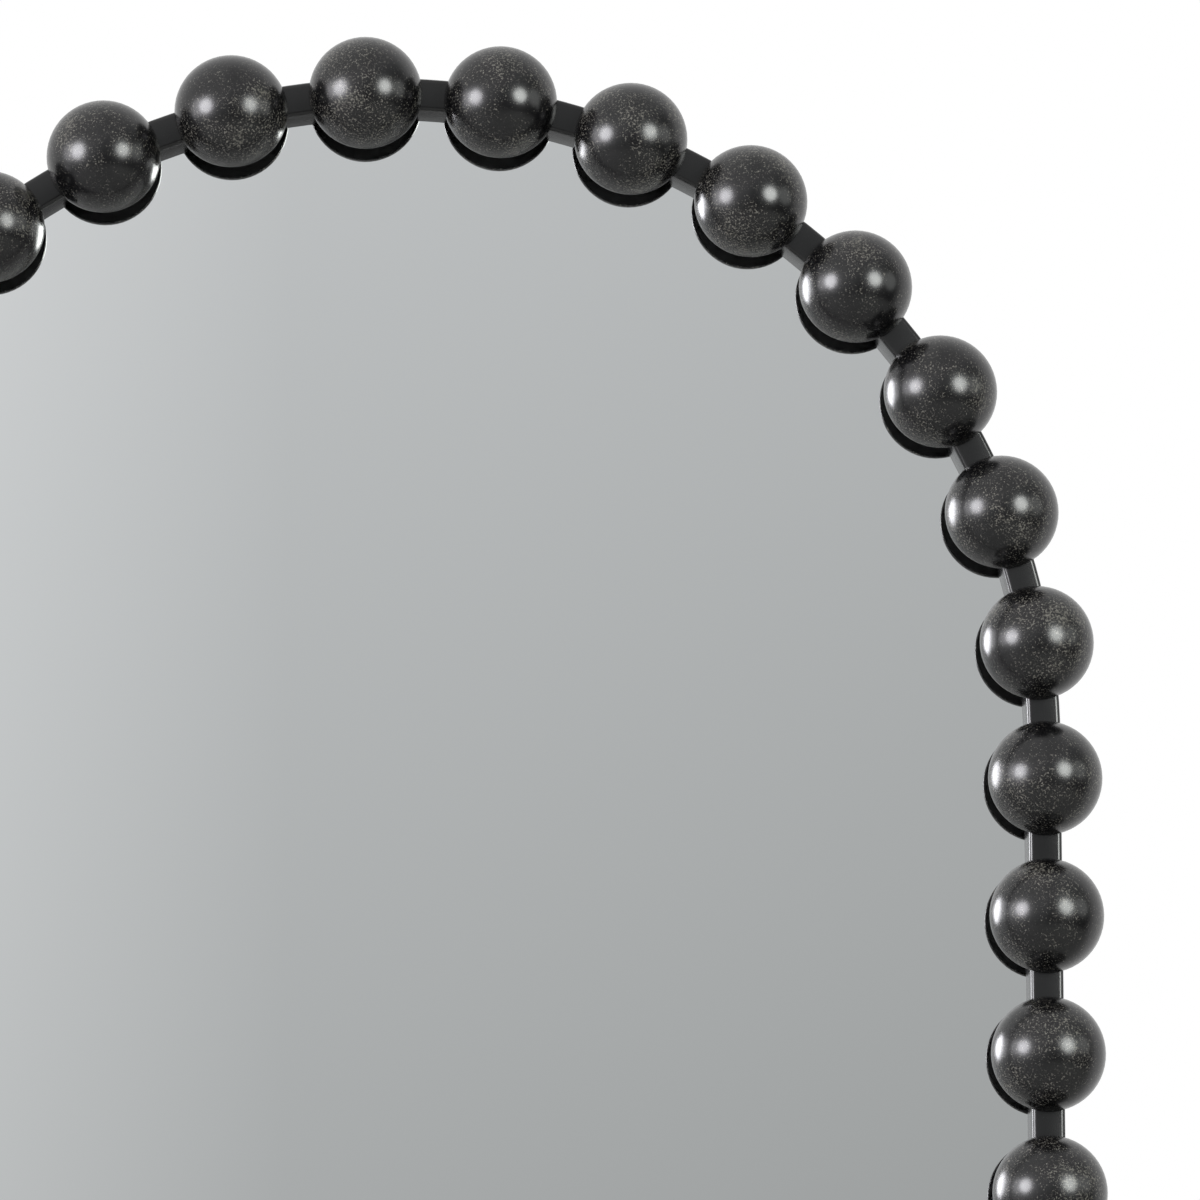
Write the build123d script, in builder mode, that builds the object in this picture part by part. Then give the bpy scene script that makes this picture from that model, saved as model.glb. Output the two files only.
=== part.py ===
from build123d import *

import math
import os

# Bobbin mirror: a tall arch-top wall mirror whose narrow frame carries a row of turned half balls.
# X runs across the mirror, the glass faces -Y and Z is up.
# The origin lies on the wall, midway between the two wall hooks that the hanger rings hang from.

os.makedirs("parts", exist_ok=True)

# Bobbins: half balls glued by their flat backs to the front of the frame
bobbin_diameter = 50.0
bobbin_sides = 16
bobbin_rises = (0.0, 22.5, 45.0, 67.5)
bobbin_tip_radius = 3.0

# Frame: one narrow band, as wide as it is seen from the front
frame_radius = 285.5
frame_width = 14.4
frame_depth = 18.0
frame_edge_bevel = 1.3
side_length = 1164.5
lip_depth = 12.0
rebate_width = 5.0
hooks_below_spring = 75.0

# Places of the bobbins along the frame
arch_step = 12.0
arch_turn = 2.3
arch_bobbins_each_side = 7
left_side_start = 41.4
right_side_start = 18.4
side_bobbins = 20
foot_bobbins = 9

# Glass, its bedding and the back
glass_thickness = 4.0
glass_gap = 0.8
foam_thickness = 2.0
foam_width = 25.0
foam_top = 80.0
panel_thickness = 9.0
panel_inset = 0.7
pad_thickness = 6.0
pad_size = 14.0

# Joinery and screws
tenon_width = 8.0
tenon_thickness = 4.0
tenon_reach = 12.0
foot_tenon_reach = 9.0
mortise_gap = 0.05
mortise_end_gap = 0.5
panel_screw_length = 20.0
panel_screw_radius = 1.6
panel_screw_head_radius = 3.2
panel_screw_inset = 4.9
screw_sides = 8
arch_screw_angles = (24, 68, 112, 156)
side_screw_heights = (40.0, -480.0, -1000.0)
foot_screw_offset = 140.0

# Strap hangers with their D rings
hanger_offset = 200.0
ring_wire_radius = 1.5
ring_half_width = 10.5
ring_leg = 6.0
ring_rest_tilt = 4.0
ring_wire_sides = 8
ring_bends = 6
knuckle_bore_radius = 1.58
knuckle_radius = 2.4
strap_width = 13.0
strap_thickness = 1.6
strap_length = 44.0
strap_hole_radius = 2.1
strap_hole_drops = (24.0, 37.0)
hanger_screw_radius = 1.75
hanger_screw_length = 8.0
hanger_screw_head_radius = 3.6
hanger_screw_head_height = 2.0

# Planes across the depth, from the wall forward
bobbin_radius = bobbin_diameter / 2
panel_back = -pad_thickness
frame_back = panel_back - panel_thickness
frame_front = frame_back - frame_depth
lip_back = frame_front + lip_depth
tenon_depth = frame_front + lip_depth / 2

# Heights
spring_height = hooks_below_spring
foot_height = spring_height - side_length
pivot_height = -(ring_leg + ring_half_width - ring_wire_radius)
pivot_depth = panel_back + knuckle_radius

# Outlines, as distances from the middle line of the frame
outer_reach = frame_width / 2
inner_reach = -frame_width / 2
rebate_reach = inner_reach + rebate_width
glass_reach = rebate_reach - glass_gap
panel_reach = outer_reach - panel_inset


def upright(depth):
    """The plane of the frame at this depth: its x is the part's X and its y is Z."""
    return Plane(origin=(0, depth, 0), x_dir=(1, 0, 0), z_dir=(0, -1, 0))


def arch_outline(reach):
    """The arch-topped outline, this far outside the middle line of the frame."""
    radius = frame_radius + reach
    foot = foot_height - reach
    with BuildLine() as outline:
        CenterArc((0, spring_height), radius, 0, 180)
        Polyline((-radius, spring_height), (-radius, foot), (radius, foot), (radius, spring_height))
    make_face(outline.edges())


# Loose tenons: each has a plane along its length and how far it reaches behind and ahead of that plane
tenon_seats = [
    (
        Plane(origin=(0, tenon_depth, spring_height + frame_radius), x_dir=(0, 0, 1), z_dir=(1, 0, 0)),
        tenon_reach,
        tenon_reach,
    )
]
for side in (-1, 1):
    shoulder = Plane(origin=(side * frame_radius, tenon_depth, spring_height), x_dir=(1, 0, 0), z_dir=(0, 0, 1))
    tenon_seats.append((shoulder, tenon_reach, tenon_reach))
    foot_end = side * (frame_radius + inner_reach)
    foot_joint = Plane(origin=(foot_end, tenon_depth, foot_height), x_dir=(0, 0, 1), z_dir=(side, 0, 0))
    tenon_seats.append((foot_joint, tenon_reach, foot_tenon_reach))

# Frame: the whole rebated ring, which is then cut into its five members

with BuildPart() as frame_ring:
    with BuildSketch(upright(frame_back)):
        arch_outline(outer_reach)
    extrude(amount=frame_depth)
    with BuildSketch(upright(frame_back)):
        arch_outline(inner_reach)
    extrude(amount=frame_depth, mode=Mode.SUBTRACT)
    front_edges = frame_ring.edges().filter_by_position(Axis.Y, frame_front - 0.01, frame_front + 0.01)
    chamfer(front_edges, frame_edge_bevel)
    with BuildSketch(upright(frame_back)):
        arch_outline(rebate_reach)
    extrude(amount=frame_depth - lip_depth, mode=Mode.SUBTRACT)
    # Mortises at the crown, the shoulders and the foot
    for seat, back, ahead in tenon_seats:
        with BuildSketch(seat.offset(-back - mortise_end_gap)):
            Rectangle(tenon_width + 2 * mortise_gap, tenon_thickness + 2 * mortise_gap)
        extrude(amount=back + ahead + 2 * mortise_end_gap, mode=Mode.SUBTRACT)

above_spring = Plane(origin=(0, 0, spring_height), z_dir=(0, 0, 1))
right_of_middle = Plane(origin=(0, 0, 0), z_dir=(1, 0, 0))
inner_right = Plane(origin=(frame_radius + inner_reach, 0, 0), z_dir=(1, 0, 0))
inner_left = Plane(origin=(-frame_radius - inner_reach, 0, 0), z_dir=(1, 0, 0))

with BuildPart() as arch_rail_right:
    add(frame_ring.part)
    split(bisect_by=above_spring, keep=Keep.TOP)
    split(bisect_by=right_of_middle, keep=Keep.TOP)
arch_rail_right.part.label = "arch_rail_right"
export_step(arch_rail_right.part, "parts/arch_rail_right.step")

with BuildPart() as arch_rail_left:
    add(frame_ring.part)
    split(bisect_by=above_spring, keep=Keep.TOP)
    split(bisect_by=right_of_middle, keep=Keep.BOTTOM)
arch_rail_left.part.label = "arch_rail_left"
export_step(arch_rail_left.part, "parts/arch_rail_left.step")

with BuildPart() as stile_right:
    add(frame_ring.part)
    split(bisect_by=above_spring, keep=Keep.BOTTOM)
    split(bisect_by=inner_right, keep=Keep.TOP)
stile_right.part.label = "stile_right"
export_step(stile_right.part, "parts/stile_right.step")

with BuildPart() as stile_left:
    add(frame_ring.part)
    split(bisect_by=above_spring, keep=Keep.BOTTOM)
    split(bisect_by=inner_left, keep=Keep.BOTTOM)
stile_left.part.label = "stile_left"
export_step(stile_left.part, "parts/stile_left.step")

with BuildPart() as bottom_rail:
    add(frame_ring.part)
    split(bisect_by=above_spring, keep=Keep.BOTTOM)
    split(bisect_by=inner_right, keep=Keep.BOTTOM)
    split(bisect_by=inner_left, keep=Keep.TOP)
bottom_rail.part.label = "bottom_rail"
export_step(bottom_rail.part, "parts/bottom_rail.step")

with BuildPart() as loose_tenons:
    for seat, back, ahead in tenon_seats:
        with BuildSketch(seat.offset(-back)):
            Rectangle(tenon_width, tenon_thickness)
        extrude(amount=back + ahead)
loose_tenons.part.label = "loose_tenons"
export_step(loose_tenons.part, "parts/loose_tenons.step")


# Bobbins: one half ball in flats, set out along the frame

profile = [
    (bobbin_radius * math.cos(math.radians(rise)), bobbin_radius * math.sin(math.radians(rise)))
    for rise in bobbin_rises
]
profile.append((bobbin_tip_radius, bobbin_radius))
flat_share = math.cos(math.pi / bobbin_sides)
with BuildPart() as half_ball:
    for (low_radius, low), (high_radius, high) in zip(profile, profile[1:]):
        lean = math.degrees(math.atan((low_radius - high_radius) * flat_share / (high - low)))
        with BuildSketch(Plane.XY.offset(low)):
            RegularPolygon(low_radius, bobbin_sides)
        extrude(amount=high - low, taper=lean)


def bobbin_seats(places):
    """A plane for each bobbin, on the front of the frame and facing out."""
    return [Plane(origin=(x, frame_front, z), x_dir=(1, 0, 0), z_dir=(0, -1, 0)) for x, z in places]


def arch_places(counts):
    """Centres of the bobbins on the arch, counted from the one beside the crown."""
    angles = [math.radians(90 + arch_turn + arch_step * count) for count in counts]
    return [(frame_radius * math.cos(a), spring_height + frame_radius * math.sin(a)) for a in angles]


def side_places(side, start):
    """Centres of the bobbins down one side, the last one in the corner."""
    pitch = (side_length - start) / (side_bobbins - 1)
    return [(side * frame_radius, spring_height - start - pitch * count) for count in range(side_bobbins)]


foot_pitch = 2 * frame_radius / (foot_bobbins + 1)
foot_places = [(-frame_radius + foot_pitch * count, foot_height) for count in range(1, foot_bobbins + 1)]

bobbin_rows = {
    "bobbins_arch_left": arch_places(range(0, arch_bobbins_each_side + 1)),
    "bobbins_arch_right": arch_places(range(-arch_bobbins_each_side, 0)),
    "bobbins_left": side_places(-1, left_side_start),
    "bobbins_right": side_places(1, right_side_start),
    "bobbins_foot": foot_places,
}
for name, places in bobbin_rows.items():
    with BuildPart() as row:
        with Locations(*bobbin_seats(places)):
            add(half_ball.part)
    row.part.label = name
    export_step(row.part, f"parts/{name}.step")


# Glass, bedding and back panel

with BuildPart() as mirror_glass:
    with BuildSketch(upright(lip_back + glass_thickness)):
        arch_outline(glass_reach)
    extrude(amount=glass_thickness)
mirror_glass.part.label = "mirror_glass"
export_step(mirror_glass.part, "parts/mirror_glass.step")

foam_places = (-170.0, 0.0, 170.0)
foam_length = spring_height + foam_top - (foot_height + foam_top)
foam_middle = (spring_height + foam_top + foot_height + foam_top) / 2
with BuildPart() as foam_strips:
    with BuildSketch(upright(frame_back)):
        with Locations(*[(x, foam_middle) for x in foam_places]):
            Rectangle(foam_width, foam_length)
    extrude(amount=foam_thickness)
foam_strips.part.label = "foam_strips"
export_step(foam_strips.part, "parts/foam_strips.step")

screw_radius_line = frame_radius + panel_reach - panel_screw_inset
screw_foot_line = foot_height - panel_reach + panel_screw_inset
screw_places = [
    (screw_radius_line * math.cos(math.radians(a)), spring_height + screw_radius_line * math.sin(math.radians(a)))
    for a in arch_screw_angles
]
screw_places += [(side * screw_radius_line, z) for side in (-1, 1) for z in side_screw_heights]
screw_places += [(side * foot_screw_offset, screw_foot_line) for side in (-1, 1)]
screw_planes = [Plane(origin=(x, panel_back, z), x_dir=(1, 0, 0), z_dir=(0, 1, 0)) for x, z in screw_places]

with BuildPart() as back_panel:
    with BuildSketch(upright(panel_back)):
        arch_outline(panel_reach)
    extrude(amount=panel_thickness)
back_panel.part.label = "back_panel"
export_step(back_panel.part, "parts/back_panel.step")

head_depth = panel_screw_head_radius - panel_screw_radius
with BuildPart() as panel_screw:
    with BuildSketch():
        RegularPolygon(panel_screw_head_radius, screw_sides)
    extrude(amount=-head_depth, taper=45)
    with BuildSketch():
        RegularPolygon(panel_screw_radius, screw_sides)
    extrude(amount=-panel_screw_length)
with BuildPart() as panel_screws:
    with Locations(*screw_planes):
        add(panel_screw.part)
panel_screws.part.label = "panel_screws"
export_step(panel_screws.part, "parts/panel_screws.step")

pad_places = [
    (side * (frame_radius - 22), z) for side in (-1, 1) for z in (spring_height - 20, foot_height + 22)
]
with BuildPart() as wall_pads:
    with BuildSketch(upright(0)):
        with Locations(*pad_places):
            Rectangle(pad_size, pad_size)
    extrude(amount=pad_thickness)
wall_pads.part.label = "wall_pads"
export_step(wall_pads.part, "parts/wall_pads.step")


# Strap hangers: a folded steel strap on the back panel, with a D ring in its knuckle

tilt = math.radians(ring_rest_tilt)
for side, word in ((-1, "left"), (1, "right")):
    x = side * hanger_offset
    side_view = Plane(origin=(x, 0, 0), x_dir=(0, 1, 0), z_dir=(1, 0, 0))
    with BuildPart() as strap:
        with BuildSketch(side_view):
            with Locations((pivot_depth, pivot_height)):
                Circle(knuckle_radius)
            with Locations((panel_back + strap_thickness / 2, pivot_height - strap_length / 2)):
                Rectangle(strap_thickness, strap_length)
            with Locations((pivot_depth, pivot_height)):
                Circle(knuckle_bore_radius, mode=Mode.SUBTRACT)
        extrude(amount=strap_width / 2, both=True)
        with Locations(
            *[
                Plane(origin=(x, panel_back + strap_thickness, pivot_height - drop), z_dir=(0, 1, 0))
                for drop in strap_hole_drops
            ]
        ):
            Hole(strap_hole_radius)
        end_edges = strap.edges().filter_by(Axis.Y).group_by(Axis.Z)[0]
        chamfer(end_edges, strap_width / 4)
    strap.part.label = f"hanger_strap_{word}"
    export_step(strap.part, f"parts/hanger_strap_{word}.step")

    ring_plane = Plane(
        origin=(x, pivot_depth, pivot_height),
        x_dir=(1, 0, 0),
        z_dir=(0, -math.cos(tilt), -math.sin(tilt)),
    )
    bends = [math.radians(180 + 180 * bend / ring_bends) for bend in range(ring_bends + 1)]
    bottom = [(ring_half_width * math.cos(a), -ring_leg + ring_half_width * math.sin(a)) for a in bends]
    with BuildPart() as ring:
        with BuildLine(ring_plane) as ring_path:
            Polyline((-ring_half_width, ring_wire_radius), *bottom, (ring_half_width, ring_wire_radius))
        with BuildSketch(Plane(origin=ring_path.line @ 0, z_dir=ring_path.line % 0)):
            RegularPolygon(ring_wire_radius, ring_wire_sides)
        sweep(transition=Transition.RIGHT)
        with BuildSketch(Plane(origin=(x, pivot_depth, pivot_height), z_dir=(1, 0, 0))):
            Circle(ring_wire_radius)
        extrude(amount=ring_half_width, both=True)
    ring.part.label = f"hanger_ring_{word}"
    export_step(ring.part, f"parts/hanger_ring_{word}.step")

hanger_screw_planes = [
    Plane(origin=(side * hanger_offset, panel_back + strap_thickness, pivot_height - drop), z_dir=(0, 1, 0))
    for side in (-1, 1)
    for drop in strap_hole_drops
]
with BuildPart() as hanger_screws:
    for seat in hanger_screw_planes:
        with BuildSketch(seat):
            RegularPolygon(hanger_screw_head_radius, screw_sides)
        extrude(amount=hanger_screw_head_height)
        with BuildSketch(seat):
            RegularPolygon(hanger_screw_radius, screw_sides)
        extrude(amount=-hanger_screw_length)
hanger_screws.part.label = "hanger_screws"
export_step(hanger_screws.part, "parts/hanger_screws.step")
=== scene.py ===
import math
import random

import bmesh
import bpy
from mathutils import Matrix, Vector


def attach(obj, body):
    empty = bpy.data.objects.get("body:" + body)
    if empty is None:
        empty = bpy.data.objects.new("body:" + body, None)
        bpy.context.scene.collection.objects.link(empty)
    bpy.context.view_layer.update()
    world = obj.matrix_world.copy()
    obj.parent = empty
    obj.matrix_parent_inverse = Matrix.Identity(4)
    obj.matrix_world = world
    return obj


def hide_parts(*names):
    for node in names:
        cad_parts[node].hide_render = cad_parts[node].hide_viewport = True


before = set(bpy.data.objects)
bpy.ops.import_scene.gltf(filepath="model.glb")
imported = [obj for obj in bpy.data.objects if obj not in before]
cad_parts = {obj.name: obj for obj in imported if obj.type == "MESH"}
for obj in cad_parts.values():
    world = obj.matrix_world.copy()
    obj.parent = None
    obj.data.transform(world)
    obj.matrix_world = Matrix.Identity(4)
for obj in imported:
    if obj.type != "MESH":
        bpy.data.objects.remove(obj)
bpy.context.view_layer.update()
MM = 0.001


# Frame members
# Two arch rails, two stiles and a bottom rail in poplar, moulded in one run with a round-over on both front
# edges and a rebate behind for the glass, then tenoned, sanded flush and sprayed with black satin lacquer.

frame_radius = 285.5
frame_width = 14.4
frame_depth = 18.0
frame_front = -33.0
lip_depth = 12.0
rebate_width = 5.0
merge_gap = 0.001
round_over = 2.0
round_over_steps = 6
spring_height = 75.0
side_length = 1164.5
foot_height = spring_height - side_length
frame_back = frame_front + frame_depth
lip_back = frame_front + lip_depth
outer_reach = frame_width / 2
inner_reach = -frame_width / 2
rebate_reach = inner_reach + rebate_width


def srgb(code):
    """A colour written as sRGB hex, as the linear values that a shader takes."""
    parts = [int(code[i:i + 2], 16) / 255 for i in (1, 3, 5)]
    return [p / 12.92 if p <= 0.04045 else ((p + 0.055) / 1.055) ** 2.4 for p in parts] + [1.0]


def add_node(tree, kind, inputs=(), **settings):
    """Adds a node, sets its properties, and sets or links its inputs."""
    made = tree.nodes.new(kind)
    for name, value in settings.items():
        setattr(made, name, value)
    for name, value in dict(inputs).items():
        if isinstance(value, bpy.types.NodeSocket):
            tree.links.new(value, made.inputs[name])
        else:
            made.inputs[name].default_value = value
    return made


def start_material(name, **values):
    """A material with one Principled shader, and its node tree."""
    material = bpy.data.materials.new(name)
    material.use_nodes = True
    shader = material.node_tree.nodes["Principled BSDF"]
    for socket, value in values.items():
        shader.inputs[socket.replace("_", " ")].default_value = value
    return material, material.node_tree, shader


def paint_grades(tree, factor, stops):
    """A colour ramp over factor, with stops of place and hex colour."""
    ramp = add_node(tree, "ShaderNodeValToRGB", {"Fac": factor})
    elements = ramp.color_ramp.elements
    while len(elements) < len(stops):
        elements.new(0.5)
    for element, (place, code) in zip(elements, stops):
        element.position = place
        element.color = srgb(code)
    return ramp.outputs["Color"]


def sprayed_lacquer(name, speck_start):
    """Black lacquer sprayed on wood and left satin, with soft highlights. Fine pale specks stand in it in
    loose clusters, from speck_start up."""
    speck_mm = 0.45
    cluster_mm = 10.0
    cluster_pull = 0.35
    least_haze, most_haze = 0.22, 0.28
    peel_mm = 2.6
    peel_depth = 0.15
    material, tree, shader = start_material(name, IOR=1.5)
    place = add_node(tree, "ShaderNodeTexCoord").outputs["Object"]
    speck = add_node(
        tree,
        "ShaderNodeTexNoise",
        {"Vector": place, "Scale": 1000 / (2 * speck_mm), "Detail": 3.0, "Roughness": 0.65},
    )
    cluster = add_node(
        tree, "ShaderNodeTexNoise", {"Vector": place, "Scale": 1000 / (2 * cluster_mm), "Detail": 2.0}
    )
    amount = add_node(
        tree,
        "ShaderNodeMath",
        {0: cluster.outputs["Fac"], 1: cluster_pull, 2: speck.outputs["Fac"]},
        operation="MULTIPLY_ADD",
    )
    stops = [
        (0.0, "#030304"), (speck_start, "#040405"),
        (speck_start + 0.07, "#1e1d1c"), (speck_start + 0.15, "#595751"),
    ]
    tree.links.new(paint_grades(tree, amount.outputs[0], stops), shader.inputs["Base Color"])
    haze = add_node(
        tree,
        "ShaderNodeMapRange",
        {"Value": cluster.outputs["Fac"], "From Min": 0.3, "From Max": 0.7,
         "To Min": least_haze, "To Max": most_haze},
    )
    tree.links.new(haze.outputs["Result"], shader.inputs["Roughness"])
    peel = add_node(tree, "ShaderNodeTexNoise", {"Vector": place, "Scale": 1000 / peel_mm, "Detail": 1.0})
    relief = add_node(
        tree,
        "ShaderNodeBump",
        {"Height": peel.outputs["Fac"], "Strength": 0.08, "Distance": peel_depth * MM},
    )
    tree.links.new(relief.outputs["Normal"], shader.inputs["Normal"])
    return material


def mark_creases(shape, smooth_angle):
    """Shades the faces of a bmesh smoothly, but for the edges that turn by more than this many degrees."""
    for face in shape.faces:
        face.smooth = True
    for edge in shape.edges:
        edge.smooth = len(edge.link_faces) == 2 and edge.calc_face_angle() < math.radians(smooth_angle)


def make_piece(name, vertices, faces, material, smooth_angle=35):
    """A mesh object from points in mm, with coincident points merged and faces turned outward."""
    mesh = bpy.data.meshes.new(name)
    shape = bmesh.new()
    points = [shape.verts.new(Vector(v) * MM) for v in vertices]
    for face in faces:
        shape.faces.new([points[i] for i in face])
    bmesh.ops.remove_doubles(shape, verts=shape.verts, dist=merge_gap * MM)
    bmesh.ops.dissolve_degenerate(shape, edges=shape.edges, dist=merge_gap * MM)
    bmesh.ops.recalc_face_normals(shape, faces=shape.faces)
    mark_creases(shape, smooth_angle)
    shape.to_mesh(mesh)
    shape.free()
    mesh.materials.append(material)
    piece = bpy.data.objects.new(name, mesh)
    bpy.context.scene.collection.objects.link(piece)
    return piece


def skin_loops(loops, closed=False):
    """Points and faces of a skin over closed loops of equally many points, with caps unless it is closed."""
    size = len(loops[0])
    points = [p for loop in loops for p in loop]
    faces = []
    for k in range(len(loops) if closed else len(loops) - 1):
        a, b = k * size, (k + 1) % len(loops) * size
        faces += [(a + i, a + (i + 1) % size, b + (i + 1) % size, b + i) for i in range(size)]
    if not closed:
        faces += [tuple(range(size - 1, -1, -1)), tuple(range((len(loops) - 1) * size, len(points)))]
    return points, faces


def member_section(rebated=True, set_back=0.0):
    """The moulding's outline as (reach, depth), from the outer back edge round the front to the rebate."""
    outline = [(outer_reach, frame_back)]
    for step in range(round_over_steps + 1):
        turn = math.radians(90 * step / round_over_steps)
        outline.append(
            (
                outer_reach - round_over + round_over * math.cos(turn),
                frame_front + round_over - round_over * math.sin(turn),
            )
        )
    outline += [(-reach, depth) for reach, depth in reversed(outline[1:])]
    step_reach = rebate_reach if rebated else inner_reach
    outline += [(inner_reach, lip_back), (step_reach, lip_back), (step_reach, frame_back)]
    return [(reach, max(depth, frame_front + set_back)) for reach, depth in outline]


def arch_loop(angle, section):
    """The section set across the arch at this angle, in degrees from the right."""
    a = math.radians(angle)
    return [
        ((frame_radius + r) * math.cos(a), y, spring_height + (frame_radius + r) * math.sin(a))
        for r, y in section
    ]


frame_lacquer = sprayed_lacquer("frame_black_satin_lacquer_sprayed", 0.87)
arch_steps = 60
for side, word in ((1, "right"), (-1, "left")):
    loops = [
        arch_loop(90 - side * 90 * step / arch_steps, member_section()) for step in range(arch_steps + 1)
    ]
    rail = make_piece(f"arch_rail_{word}_moulding", *skin_loops(loops), frame_lacquer)
    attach(rail, "mirror")
    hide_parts(f"arch_rail_{word}")

    rebate_end = foot_height - rebate_reach
    stations = [(spring_height, True, 0.0), (rebate_end, True, 0.0), (rebate_end, False, 0.0)]
    for step in range(round_over_steps + 1):
        turn = math.radians(90 * step / round_over_steps)
        low = foot_height - outer_reach + round_over * (1 - math.sin(turn))
        stations.append((low, False, round_over * (1 - math.cos(turn))))
    loops = [
        [(side * (frame_radius + r), y, z) for r, y in member_section(rebated, set_back)]
        for z, rebated, set_back in stations
    ]
    stile = make_piece(f"stile_{word}_moulding", *skin_loops(loops), frame_lacquer)
    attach(stile, "mirror")
    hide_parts(f"stile_{word}")

rail_end = frame_radius + inner_reach
loops = [[(x, y, foot_height - r) for r, y in member_section()] for x in (-rail_end, rail_end)]
rail = make_piece("bottom_rail_moulding", *skin_loops(loops), frame_lacquer)
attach(rail, "mirror")
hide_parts("bottom_rail")


# Loose tenons
# Five beech slips glued into the mortises of the frame, unfinished and closed in by the joints.

tenon_beech, tree, shader = start_material("tenon_beech_sawn", Roughness=0.75, IOR=1.45)
beech_grain_mm = 1.2
place = add_node(tree, "ShaderNodeTexCoord").outputs["Object"]
stretch = add_node(tree, "ShaderNodeMapping", {"Vector": place, "Scale": (1.0, 1.0, 0.15)})
grain = add_node(
    tree,
    "ShaderNodeTexNoise",
    {"Vector": stretch.outputs["Vector"], "Scale": 1000 / beech_grain_mm, "Detail": 4.0},
)
tint = paint_grades(tree, grain.outputs["Fac"], [(0.3, "#b98d64"), (0.7, "#dcb88c")])
tree.links.new(tint, shader.inputs["Base Color"])
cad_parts["loose_tenons"].data.materials.clear()
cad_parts["loose_tenons"].data.materials.append(tenon_beech)


# Bobbins
# Balls of beech turned on a lathe, cut in half, lacquered black and glued by the flat to the frame, the sawn
# back only sealed. They stand one step apart round the arch, and down to a bobbin in each foot corner.

bobbin_radius = 25.0
bobbin_edge = 0.6
bobbin_edge_ease = 0.3
bobbin_rings = 20
bobbin_segments = 56
arch_step = 12.0
arch_turn = 2.3
arch_bobbins_left = 8
arch_bobbins_right = 7
left_side_start = 41.4
right_side_start = 18.4
side_bobbins = 20
foot_bobbins = 9


def arch_places(counts):
    """Centres of the bobbins on the arch, counted from the one beside the crown."""
    angles = [math.radians(90 + arch_turn + arch_step * count) for count in counts]
    return [(frame_radius * math.cos(a), spring_height + frame_radius * math.sin(a)) for a in angles]


def side_places(side, start):
    """Centres of the bobbins down one side, the last one in the corner."""
    pitch = (side_length - start) / (side_bobbins - 1)
    return [(side * frame_radius, spring_height - start - pitch * count) for count in range(side_bobbins)]


def turned_half_ball():
    """Points and faces of one half ball with its flat at depth 0, its rim eased as by sanding."""
    profile = []
    for k in range(bobbin_rings):
        rise = math.radians(90 * (1 - k / bobbin_rings))
        profile.append((bobbin_radius * math.cos(rise), bobbin_radius * math.sin(rise)))
    profile += [
        (bobbin_radius, bobbin_edge),
        (bobbin_radius - bobbin_edge_ease * bobbin_edge, bobbin_edge_ease * bobbin_edge),
        (bobbin_radius - bobbin_edge, 0.0),
    ]
    points = [(0.0, -bobbin_radius, 0.0)]
    for radius, height in profile[1:]:
        for k in range(bobbin_segments):
            a = math.tau * k / bobbin_segments
            points.append((radius * math.cos(a), -height, radius * math.sin(a)))
    faces = [(0, 1 + k, 1 + (k + 1) % bobbin_segments) for k in range(bobbin_segments)]
    for ring in range(len(profile) - 2):
        a = 1 + ring * bobbin_segments
        b = a + bobbin_segments
        for k in range(bobbin_segments):
            n = (k + 1) % bobbin_segments
            faces.append((a + k, b + k, b + n, a + n))
    last = 1 + (len(profile) - 2) * bobbin_segments
    faces.append(tuple(range(last, last + bobbin_segments)))
    return points, faces


foot_pitch = 2 * frame_radius / (foot_bobbins + 1)
bobbin_rows = {
    "bobbins_arch_left": arch_places(range(arch_bobbins_left)),
    "bobbins_arch_right": arch_places(range(-arch_bobbins_right, 0)),
    "bobbins_left": side_places(-1, left_side_start),
    "bobbins_right": side_places(1, right_side_start),
    "bobbins_foot": [(-frame_radius + foot_pitch * k, foot_height) for k in range(1, foot_bobbins + 1)],
}
bobbin_lacquer = sprayed_lacquer("bobbin_black_satin_lacquer_flecked", 0.69)
bobbin_back, tree, shader = start_material(
    "bobbin_back_dull_black_sealer", Roughness=0.7, Specular_IOR_Level=0.15
)
saw_mark_mm = 1.5
faces_back = 0.99
place = add_node(tree, "ShaderNodeTexCoord").outputs["Object"]
stretch = add_node(tree, "ShaderNodeMapping", {"Vector": place, "Scale": (0.1, 1.0, 1.0)})
saw_marks = add_node(
    tree,
    "ShaderNodeTexNoise",
    {"Vector": stretch.outputs["Vector"], "Scale": 1000 / saw_mark_mm, "Detail": 3.0},
)
tint = paint_grades(tree, saw_marks.outputs["Fac"], [(0.35, "#050505"), (0.65, "#0b0b0b")])
tree.links.new(tint, shader.inputs["Base Color"])
ball_points, ball_faces = turned_half_ball()
for name, places in bobbin_rows.items():
    points, faces = [], []
    for x, z in places:
        first = len(points)
        points += [(x + px, frame_front + py, z + pz) for px, py, pz in ball_points]
        faces += [tuple(first + i for i in face) for face in ball_faces]
    row = make_piece(f"{name}_turned", points, faces, bobbin_lacquer)
    row.data.materials.append(bobbin_back)
    for face in row.data.polygons:
        face.material_index = 1 if face.normal.y > faces_back else 0
    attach(row, "mirror")
    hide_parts(name)


# Mirror glass
# One 4 mm sheet of float glass cut to the arch, silvered and painted on the back, with ground edges.

glass_mirror, tree, shader = start_material(
    "float_glass_silvered", Metallic=1.0, Roughness=0.012, Base_Color=srgb("#f3f4f4")
)
place = add_node(tree, "ShaderNodeTexCoord").outputs["Object"]
wave_mm = 260.0
wave = add_node(tree, "ShaderNodeTexNoise", {"Vector": place, "Scale": 1000 / wave_mm, "Detail": 0.0})
float_wave = add_node(
    tree, "ShaderNodeBump", {"Height": wave.outputs["Fac"], "Strength": 0.02, "Distance": 0.2 * MM}
)
tree.links.new(float_wave.outputs["Normal"], shader.inputs["Normal"])
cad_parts["mirror_glass"].data.materials.clear()
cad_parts["mirror_glass"].data.materials.append(glass_mirror)


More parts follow.
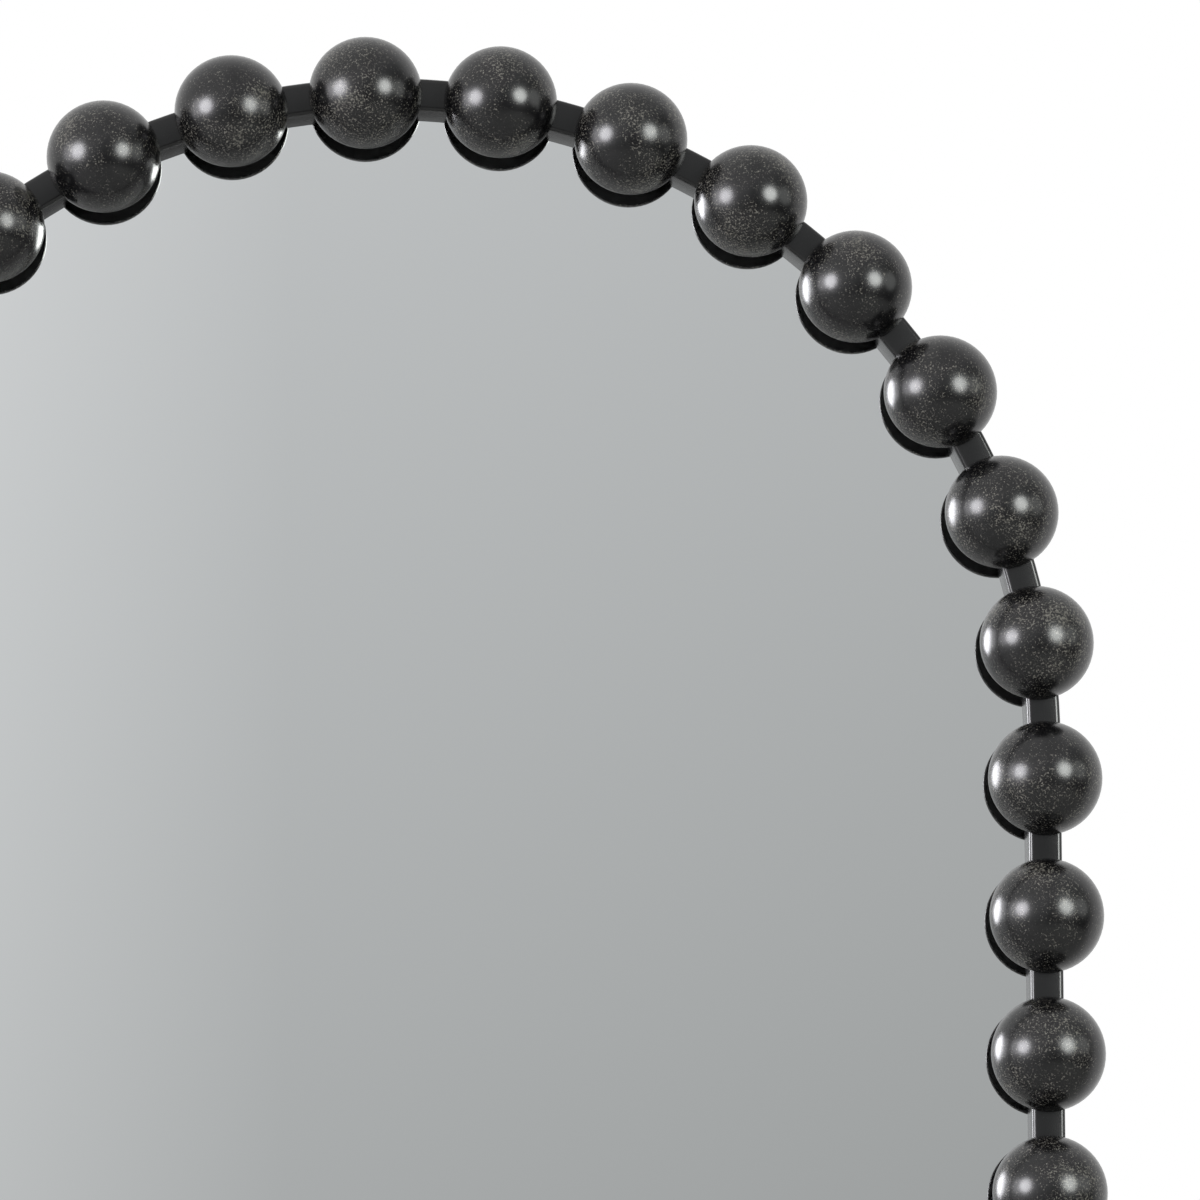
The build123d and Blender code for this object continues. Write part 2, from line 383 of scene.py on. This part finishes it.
# Foam strips
# Three strips of white closed-cell foam tape that bed the glass on the back panel.

foam_tape, tree, shader = start_material("foam_tape_closed_cell", Roughness=0.85, IOR=1.45)
cell_mm = 0.4
place = add_node(tree, "ShaderNodeTexCoord").outputs["Object"]
cells = add_node(tree, "ShaderNodeTexVoronoi", {"Vector": place, "Scale": 1000 / cell_mm})
tint = paint_grades(tree, cells.outputs["Distance"], [(0.0, "#d8d8d2"), (0.8, "#efefea")])
tree.links.new(tint, shader.inputs["Base Color"])
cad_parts["foam_strips"].data.materials.clear()
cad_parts["foam_strips"].data.materials.append(foam_tape)


# Back panel
# 9 mm fibreboard cut to the arch, rolled dark grey on the back, its edges eased and left the same grey.
# Countersunk holes take the screws that hold it to the frame.

panel_thickness = 9.0
panel_back = frame_back + panel_thickness
panel_set_in = 0.7
panel_reach = outer_reach - panel_set_in
panel_arris = 0.6
panel_arch_steps = 96
panel_screw_inset = 4.9
panel_screw_radius = 1.6
panel_screw_head_radius = 3.2
arch_screw_angles = (24, 68, 112, 156)
side_screw_heights = (40.0, -480.0, -1000.0)
foot_screw_offset = 140.0

painted_board, tree, shader = start_material("fibreboard_back_rolled_grey_paint", IOR=1.45)
fibre_mm = 1.6
roller_mm = 5.0
place = add_node(tree, "ShaderNodeTexCoord").outputs["Object"]
fibres = add_node(
    tree,
    "ShaderNodeTexNoise",
    {"Vector": place, "Scale": 1000 / fibre_mm, "Detail": 5.0, "Distortion": 1.5},
)
stipple = add_node(tree, "ShaderNodeTexNoise", {"Vector": place, "Scale": 1000 / roller_mm, "Detail": 3.0})
tint = paint_grades(tree, fibres.outputs["Fac"], [(0.3, "#2b2a29"), (0.55, "#363534"), (0.75, "#45433f")])
tree.links.new(tint, shader.inputs["Base Color"])
sheen = add_node(
    tree,
    "ShaderNodeMapRange",
    {"Value": stipple.outputs["Fac"], "From Min": 0.3, "From Max": 0.7, "To Min": 0.5, "To Max": 0.68},
)
tree.links.new(sheen.outputs["Result"], shader.inputs["Roughness"])
nap = add_node(
    tree, "ShaderNodeBump", {"Height": fibres.outputs["Fac"], "Strength": 0.25, "Distance": 0.2 * MM}
)
tree.links.new(nap.outputs["Normal"], shader.inputs["Normal"])


def arch_slab_loop(reach, depth):
    """The arch-topped outline at this reach and depth, as one closed loop."""
    radius = frame_radius + reach
    loop = []
    for step in range(panel_arch_steps + 1):
        a = math.radians(180 * step / panel_arch_steps)
        loop.append((radius * math.cos(a), depth, spring_height + radius * math.sin(a)))
    foot = foot_height - reach
    return loop + [(-radius, depth, foot), (radius, depth, foot)]


def cut_away(piece, cutter, smooth_angle=30):
    """Cuts cutter out of piece, creases what is left and removes the cutter."""
    cut = piece.modifiers.new("cut", "BOOLEAN")
    cut.operation = "DIFFERENCE"
    cut.solver = "EXACT"
    cut.object = cutter
    shapes = bpy.context.evaluated_depsgraph_get()
    mesh = bpy.data.meshes.new_from_object(piece.evaluated_get(shapes))
    piece.modifiers.clear()
    shape = bmesh.new()
    shape.from_mesh(mesh)
    bmesh.ops.dissolve_degenerate(shape, edges=shape.edges, dist=merge_gap * MM)
    mark_creases(shape, smooth_angle)
    shape.to_mesh(mesh)
    shape.free()
    piece.data = mesh
    bpy.data.objects.remove(cutter)


def turned_loops(profile, segments):
    """Loops about Z for a turned shape, from points of radius and height."""
    return [
        [
            (r * math.cos(math.tau * k / segments), r * math.sin(math.tau * k / segments), h)
            for k in range(segments)
        ]
        for r, h in profile
    ]


def set_down(points, seat, spin=0.0):
    """Points about Z moved to a seat on the back of the mirror, with Z turned to point at the wall."""
    turn = Matrix.Rotation(math.radians(-90), 4, "X") @ Matrix.Rotation(math.radians(spin), 4, "Z")
    place = Matrix.Translation(Vector(seat)) @ turn
    return [tuple(place @ Vector(p)) for p in points]


screw_line = frame_radius + panel_reach - panel_screw_inset
screw_places = [
    (screw_line * math.cos(math.radians(a)), spring_height + screw_line * math.sin(math.radians(a)))
    for a in arch_screw_angles
]
screw_places += [(side * screw_line, z) for side in (-1, 1) for z in side_screw_heights]
screw_places += [
    (side * foot_screw_offset, foot_height - panel_reach + panel_screw_inset) for side in (-1, 1)
]

loops = [
    arch_slab_loop(panel_reach, frame_back),
    arch_slab_loop(panel_reach, panel_back - panel_arris),
    arch_slab_loop(panel_reach - panel_arris, panel_back),
]
panel = make_piece("back_panel_board", *skin_loops(loops), painted_board, 30)
hole_radius = panel_screw_radius + 0.2
hole_depth = 12.0
hole_segments = 28
sink_radius = panel_screw_head_radius + 0.4
sink_depth = 1.9
sink_rise = 0.1
cutter_rise = 1.0
countersink = [
    (hole_radius, -hole_depth),
    (hole_radius, -sink_depth),
    (sink_radius, sink_rise),
    (sink_radius, cutter_rise),
]
points, faces = [], []
for x, z in screw_places:
    hole_points, hole_faces = skin_loops(turned_loops(countersink, hole_segments))
    faces += [tuple(len(points) + i for i in face) for face in hole_faces]
    points += set_down(hole_points, (x, panel_back, z))
cut_away(panel, make_piece("countersinks", points, faces, painted_board))
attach(panel, "mirror")
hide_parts("back_panel")


# Screws
# Steel wood screws with a cross recess: countersunk and yellow zinc plated in the back panel, pan headed and
# bright zinc plated in the hangers. Only the heads show, so the shanks are plain.

def plated_steel(name, light, dark, roughness):
    """Zinc electroplate on steel: metallic, with the soft cloudy patches that the passivation leaves."""
    cloud_mm = 4.0
    material, tree, shader = start_material(name, Metallic=1.0)
    place = add_node(tree, "ShaderNodeTexCoord").outputs["Object"]
    cloud = add_node(tree, "ShaderNodeTexNoise", {"Vector": place, "Scale": 1000 / cloud_mm, "Detail": 4.0})
    tint = paint_grades(tree, cloud.outputs["Fac"], [(0.35, dark), (0.65, light)])
    tree.links.new(tint, shader.inputs["Base Color"])
    wear = add_node(
        tree,
        "ShaderNodeMapRange",
        {"Value": cloud.outputs["Fac"], "From Min": 0.3, "From Max": 0.7,
         "To Min": roughness, "To Max": roughness + 0.14},
    )
    tree.links.new(wear.outputs["Result"], shader.inputs["Roughness"])
    return material


def cross_recess(width, arm, depth):
    """A cross-shaped plug, tapered to its floor, that cuts the driver recess."""
    floor_share = 0.45
    corners = [(arm, width), (width, width), (width, arm), (-width, arm), (-width, width), (-arm, width)]
    corners += [
        (-arm, -width), (-width, -width), (-width, -arm), (width, -arm), (width, -width), (arm, -width)
    ]
    return [
        [(floor_share * x, floor_share * y, -depth) for x, y in corners],
        [(x, y, 0.0) for x, y in corners],
        [(x, y, cutter_rise) for x, y in corners],
    ]


def screw_set(name, profile, seats, material, recess, head_top):
    """All the screws of one kind as one mesh, each turned to its own angle, with the recess cut in."""
    spins = random.Random(7)
    segments = 32
    body_points, body_faces, plug_points, plug_faces = [], [], [], []
    for seat in seats:
        spin = spins.uniform(0, 90)
        points, faces = skin_loops(turned_loops(profile, segments))
        body_faces += [tuple(len(body_points) + i for i in face) for face in faces]
        body_points += set_down(points, seat, spin)
        points, faces = skin_loops(cross_recess(*recess))
        plug_faces += [tuple(len(plug_points) + i for i in face) for face in faces]
        plug_points += set_down([(x, y, z + head_top) for x, y, z in points], seat, spin)
    screws = make_piece(name, body_points, body_faces, material)
    cut_away(screws, make_piece(f"{name}_recesses", plug_points, plug_faces, material))
    return screws


yellow_zinc = plated_steel("screw_steel_yellow_zinc", "#cdb36b", "#a98d4d", 0.24)
screw_point_radius = 0.2
panel_screw_length = 20.0
panel_screw_point = 3.0
panel_screw_cone = 1.7
panel_screw_rim = 0.25
panel_screw_set_in = 0.1
panel_screw_rim_step = 0.1
screw_middle_radius = 0.4
panel_screw_recess = (0.45, 1.75, 1.4)
countersunk = [
    (screw_point_radius, -panel_screw_length),
    (panel_screw_radius, -(panel_screw_length - panel_screw_point)),
    (panel_screw_radius, -panel_screw_cone),
    (panel_screw_head_radius, -panel_screw_rim),
    (panel_screw_head_radius - panel_screw_rim_step, -panel_screw_set_in),
    (screw_middle_radius, -panel_screw_set_in),
]
screws = screw_set(
    "panel_screws_countersunk",
    countersunk,
    [(x, panel_back, z) for x, z in screw_places],
    yellow_zinc,
    panel_screw_recess,
    -panel_screw_set_in,
)
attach(screws, "mirror")
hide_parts("panel_screws")

hanger_offset = 200.0
pivot_height = -15.0
strap_thickness = 1.6
strap_hole_drops = (24.0, 37.0)
hanger_screw_radius = 1.75
hanger_screw_head_radius = 3.6
hanger_screw_head_height = 2.0
bright_zinc = plated_steel("hanger_steel_bright_zinc", "#c3c6c9", "#9da1a6", 0.22)
hanger_screw_length = 8.0
hanger_screw_point = 1.5
pan_dome = [(1.0, 0.0), (1.0, 0.5), (0.93, 1.2), (0.75, 1.7), (0.45, 1.95)]
hanger_screw_recess = (0.5, 1.9, 1.3)
pan_head = [
    (screw_point_radius, -hanger_screw_length),
    (hanger_screw_radius, -(hanger_screw_length - hanger_screw_point)),
    (hanger_screw_radius, 0.0),
]
pan_head += [(share * hanger_screw_head_radius, rise) for share, rise in pan_dome]
pan_head.append((screw_point_radius, hanger_screw_head_height))
hanger_seats = [
    (side * hanger_offset, panel_back + strap_thickness, pivot_height - drop)
    for side in (-1, 1)
    for drop in strap_hole_drops
]
screws = screw_set(
    "hanger_screws_pan_head",
    pan_head,
    hanger_seats,
    bright_zinc,
    hanger_screw_recess,
    hanger_screw_head_height,
)
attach(screws, "mirror")
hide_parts("hanger_screws")


# Strap hangers
# Steel strip folded round the ring's bar, both plies punched for two screws, and bright zinc plated.

for word in ("left", "right"):
    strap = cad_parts[f"hanger_strap_{word}"]
    strap.data.materials.clear()
    strap.data.materials.append(bright_zinc)


# Hanger rings
# 3 mm steel wire bent to a D and butt welded, plated like the strap. The straight side turns in the
# strap's knuckle, and at rest the ring hangs down against the strap.

ring_wire_radius = 1.5
ring_half_width = 10.5
ring_leg = 6.0
ring_corner = 2.6
ring_corner_steps = 6
ring_bow_steps = 32
ring_rest_tilt = 4.0
knuckle_radius = 2.4
wire_sides = 18


def d_ring_line():
    """The closed line of the wire's middle, across and down from the pivot."""
    line = []
    for side in (1, -1):
        for step in range(ring_corner_steps + 1):
            turn = math.radians(90 * step / ring_corner_steps)
            swing = math.sin(turn) if side > 0 else math.cos(turn)
            lift = math.cos(turn) if side > 0 else math.sin(turn)
            across = side * (ring_half_width - ring_corner + ring_corner * swing)
            line.append((across, ring_corner - ring_corner * lift))
        if side > 0:
            for step in range(ring_bow_steps + 1):
                turn = math.radians(180 * step / ring_bow_steps)
                line.append((ring_half_width * math.cos(turn), ring_leg + ring_half_width * math.sin(turn)))
    return line


def wire_loops(line, across_axis, down_axis, origin):
    """Rings of points round a closed wire that follows line."""
    out_axis = across_axis.cross(down_axis)
    loops = []
    for k, (across, down) in enumerate(line):
        before, after = line[k - 1], line[(k + 1) % len(line)]
        along = ((after[0] - before[0]) * across_axis + (after[1] - before[1]) * down_axis).normalized()
        beside = along.cross(out_axis)
        middle = origin + across * across_axis + down * down_axis
        loops.append(
            [
                tuple(
                    middle
                    + ring_wire_radius * math.cos(math.tau * i / wire_sides) * beside
                    + ring_wire_radius * math.sin(math.tau * i / wire_sides) * out_axis
                )
                for i in range(wire_sides)
            ]
        )
    return loops


tilt = math.radians(ring_rest_tilt)
hanging = Vector((0.0, math.sin(tilt), -math.cos(tilt)))
for side, word in ((-1, "left"), (1, "right")):
    pivot = Vector((side * hanger_offset, panel_back + knuckle_radius, pivot_height))
    loops = wire_loops(d_ring_line(), Vector((1.0, 0.0, 0.0)), hanging, pivot)
    ring = make_piece(f"hanger_ring_{word}_wire", *skin_loops(loops, closed=True), bright_zinc, 60)
    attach(ring, f"ring_{word}")
    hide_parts(f"hanger_ring_{word}")


# Wall pads
# Four squares of pressed wool felt, die cut and stuck to the back, that keep the hangers off the wall.

pad_size = 14.0
pad_edge = 0.8
pad_edge_ease = 0.3
pad_corner = 1.0
pad_corner_steps = 4
pad_inset = 22.0
pad_drop = 20.0
grey_felt, tree, shader = start_material("felt_pad_pressed_wool", Roughness=0.95, IOR=1.4, Sheen_Weight=0.5)
hair_mm = 0.5
place = add_node(tree, "ShaderNodeTexCoord").outputs["Object"]
hairs = add_node(
    tree,
    "ShaderNodeTexNoise",
    {"Vector": place, "Scale": 1000 / hair_mm, "Detail": 6.0, "Distortion": 3.0},
)
tint = paint_grades(tree, hairs.outputs["Fac"], [(0.3, "#2a2a2b"), (0.7, "#58585a")])
tree.links.new(tint, shader.inputs["Base Color"])
fuzz = add_node(
    tree, "ShaderNodeBump", {"Height": hairs.outputs["Fac"], "Strength": 0.7, "Distance": 0.3 * MM}
)
tree.links.new(fuzz.outputs["Normal"], shader.inputs["Normal"])


def pad_loop(x, z, half, depth, corner):
    """A square with rounded corners, as one loop at this depth."""
    loop = []
    for quarter in range(4):
        cx = (half - corner) * (1 if quarter in (0, 3) else -1)
        cz = (half - corner) * (1 if quarter < 2 else -1)
        for step in range(pad_corner_steps + 1):
            a = math.radians(90 * quarter + 90 * step / pad_corner_steps)
            loop.append((x + cx + corner * math.cos(a), depth, z + cz + corner * math.sin(a)))
    return loop


pad_heights = (spring_height - pad_drop, foot_height + pad_inset)
pad_places = [(side * (frame_radius - pad_inset), z) for side in (-1, 1) for z in pad_heights]
points, faces = [], []
for x, z in pad_places:
    half = pad_size / 2
    loops = [
        pad_loop(x, z, half, panel_back, pad_corner),
        pad_loop(x, z, half, -pad_edge, pad_corner),
        pad_loop(x, z, half - pad_edge_ease * pad_edge, -pad_edge_ease * pad_edge, pad_corner),
        pad_loop(x, z, half - pad_edge, 0.0, pad_corner),
    ]
    pad_points, pad_faces = skin_loops(loops)
    faces += [tuple(len(points) + i for i in face) for face in pad_faces]
    points += pad_points
pads = make_piece("wall_pads_felt", points, faces, grey_felt, 70)
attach(pads, "mirror")
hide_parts("wall_pads")


# Studio
# A pale floor that fades to white, a softbox on each side in front with a weaker one further out, and a grey
# room, lighter above and to the left, that the glass mirrors. To the camera the room itself is white.

floor_white_near = 0.35
floor_fade_start, floor_fade_end = 0.5, 2.5
floor_paint, tree, shader = start_material(
    "studio_floor_pale_paint", Base_Color=srgb("#9c9c9a"), Roughness=0.9
)
place = add_node(tree, "ShaderNodeTexCoord").outputs["Object"]
reach = add_node(tree, "ShaderNodeVectorMath", {0: place}, operation="LENGTH")
fade = add_node(
    tree,
    "ShaderNodeMapRange",
    {"Value": reach.outputs["Value"], "From Min": floor_fade_start, "From Max": floor_fade_end,
     "To Min": floor_white_near, "To Max": 1.0},
    interpolation_type="SMOOTHSTEP",
)


def shown_rays(tree, back_share):
    """1 for the rays that show the white background: those from the camera, and behind the mirror also those
    off metal and lacquer and through glass. In front of it these show the studio."""
    rays = add_node(tree, "ShaderNodeLightPath")
    mirrored = add_node(
        tree,
        "ShaderNodeMath",
        {0: rays.outputs["Is Glossy Ray"], 1: rays.outputs["Is Transmission Ray"]},
        operation="MAXIMUM",
    )
    behind = add_node(tree, "ShaderNodeMath", {0: mirrored.outputs[0], 1: back_share}, operation="MULTIPLY")
    either = add_node(
        tree, "ShaderNodeMath", {0: rays.outputs["Is Camera Ray"], 1: behind.outputs[0]}, operation="MAXIMUM"
    )
    return either.outputs[0]


sides = add_node(tree, "ShaderNodeSeparateXYZ", {"Vector": place})
back_share = add_node(
    tree, "ShaderNodeMapRange", {"Value": sides.outputs["Y"], "From Min": 0.0, "From Max": 1.0}
)
shown = shown_rays(tree, back_share.outputs["Result"])
seen = add_node(tree, "ShaderNodeMath", {0: shown, 1: fade.outputs["Result"]}, operation="MULTIPLY")
glow = add_node(tree, "ShaderNodeEmission", {"Color": (1.0, 1.0, 1.0, 1.0), "Strength": 1.0})
blend = add_node(
    tree,
    "ShaderNodeMixShader",
    {0: seen.outputs[0], 1: shader.outputs["BSDF"], 2: glow.outputs["Emission"]},
)
tree.links.new(blend.outputs["Shader"], tree.nodes["Material Output"].inputs["Surface"])
floor_radius = 3200.0
floor_gap = 1.0
floor_segments = 96
floor_height = foot_height - bobbin_radius - floor_gap
turns = [math.tau * k / floor_segments for k in range(floor_segments)]
rim = [(floor_radius * math.cos(a), floor_radius * math.sin(a), 0.0) for a in turns]
floor = make_piece("studio_floor", rim, [tuple(range(floor_segments))], floor_paint)
floor.location.z = floor_height * MM

world = bpy.data.worlds.new("studio_room")
bpy.context.scene.world = world
world.use_nodes = True
tree = world.node_tree
toward = add_node(tree, "ShaderNodeTexCoord").outputs["Generated"]
lighter_toward = (-0.65, 0.0, 1.0)
height = add_node(tree, "ShaderNodeVectorMath", {0: toward, 1: lighter_toward}, operation="DOT_PRODUCT")
level = add_node(tree, "ShaderNodeMapRange", {"Value": height.outputs["Value"], "From Min": -1.0})
grades = [
    (0.0, "#4c4c4c"), (0.4, "#7c7c7c"), (0.5, "#a2a4a4"),
    (0.6, "#c3c5c6"), (0.75, "#ededee"), (0.9, "#e6e6e6"),
]
room = paint_grades(tree, level.outputs["Result"], grades)
sides = add_node(tree, "ShaderNodeSeparateXYZ", {"Vector": toward})
left_glow_edge, left_glow_full = -0.005, -0.1
left_glow_level = 0.22
left_glow = add_node(
    tree,
    "ShaderNodeMapRange",
    {"Value": sides.outputs["X"], "From Min": left_glow_edge, "From Max": left_glow_full,
     "To Min": 0.0, "To Max": left_glow_level},
)
room = add_node(
    tree,
    "ShaderNodeMixRGB",
    {"Fac": left_glow.outputs["Result"], "Color1": room, "Color2": (1.0, 1.0, 1.0, 1.0)},
    blend_type="ADD",
).outputs["Color"]
white_start, white_full = -0.1, 0.25
behind = add_node(
    tree,
    "ShaderNodeMapRange",
    {"Value": sides.outputs["Y"], "From Min": white_start, "From Max": white_full},
)
shown = shown_rays(tree, behind.outputs["Result"])
tint = add_node(tree, "ShaderNodeMixRGB", {"Fac": shown, "Color1": room, "Color2": (1.0, 1.0, 1.0, 1.0)})
tree.links.new(tint.outputs["Color"], tree.nodes["Background"].inputs["Color"])

aim_across, aim_height = 91.5, 134.6
aim = Vector((aim_across, frame_front, aim_height)) * MM
lamp_distance = 3000.0
lamps = [
    ("softbox_left_core", -54, 7, "#fbfaff", 1.4, 17.0),
    ("softbox_left_rim", -73, 7, "#fbfaff", 1.4, 3.2),
    ("softbox_right_core", 38, 9, "#f8fbf8", 1.4, 15.0),
    ("softbox_right_rim", 71, 9, "#f8fbf8", 1.5, 1.6),
]
for name, azimuth, rise, tone, size, radiance in lamps:
    lamp = bpy.data.lights.new(name, "AREA")
    lamp.shape = "DISK"
    lamp.size = size
    lamp.energy = radiance * math.pi * math.pi * (size / 2) ** 2
    lamp.color = srgb(tone)[:3]
    holder = bpy.data.objects.new(name, lamp)
    bpy.context.scene.collection.objects.link(holder)
    a, e = math.radians(azimuth), math.radians(rise)
    lamp_way = Vector((math.sin(a) * math.cos(e), -math.cos(a) * math.cos(e), math.sin(e)))
    offset = lamp_way * lamp_distance * MM
    holder.location = aim + offset
    holder.rotation_euler = (-offset).to_track_quat("-Z", "Y").to_euler()
    holder.visible_camera = False

camera_distance = 3200.0
camera_across, camera_height = -29.3, -371.2
camera_place = Vector((camera_across, frame_front - camera_distance, camera_height)) * MM
camera_roll = -0.14
camera = bpy.data.cameras.new("camera")
camera.sensor_width = 36.0
camera.lens = 222.7
camera.clip_end = 200.0
viewer = bpy.data.objects.new("camera", camera)
bpy.context.scene.collection.objects.link(viewer)
viewer.location = camera_place
look = (aim - camera_place).to_track_quat("-Z", "Y").to_matrix().to_4x4()
viewer.rotation_euler = (look @ Matrix.Rotation(math.radians(camera_roll), 4, "Z")).to_euler()
bpy.context.scene.camera = viewer
bpy.context.scene.view_settings.view_transform = "Standard"
